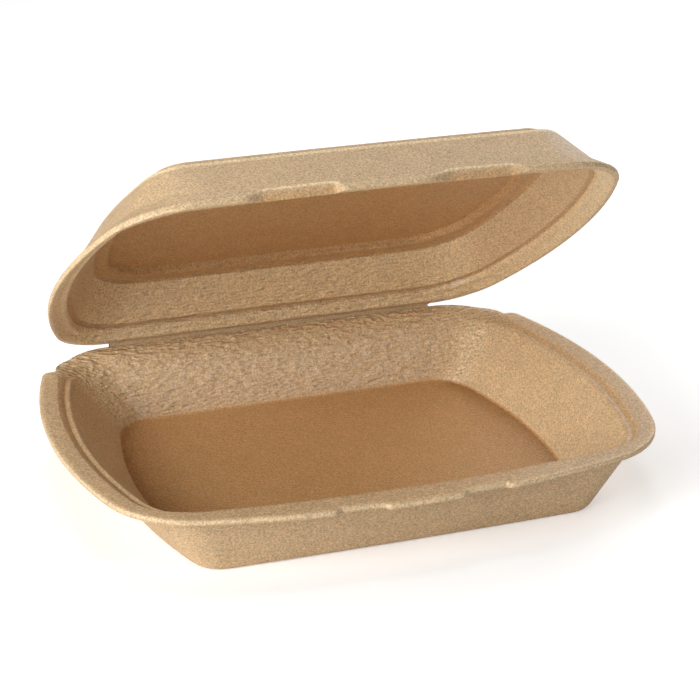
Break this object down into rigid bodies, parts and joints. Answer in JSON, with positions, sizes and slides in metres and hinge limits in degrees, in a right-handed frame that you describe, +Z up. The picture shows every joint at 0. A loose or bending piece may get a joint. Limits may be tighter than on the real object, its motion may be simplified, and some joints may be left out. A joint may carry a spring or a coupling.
{
  "type": "foam clamshell container",
  "caption": "Hinged foam food box with a flared tray, wide end flanges and a raised-top lid, standing open.",
  "frame": {"origin": "on the table under the middle of the tray", "axes": "+X along the hinge, +Y towards the hinge, +Z up; the lid stands open at rest"},
  "size_m": [0.241, 0.1735, 0.1431],
  "materials": {
    "foam": "matte tan foam with fine flecks, satin inside"
  },
  "bodies": {
    "base": {"base_tray": "foam"},
    "lid": {"lid": "foam"}
  },
  "joints": [
    {"name": "lid_hinge", "type": "hinge", "parent": "base", "child": "lid", "pos_m": [0, 0.0855, 0.028], "axis": [-1, 0, 0], "range_deg": [-40.8, 139.2]}
  ]
}
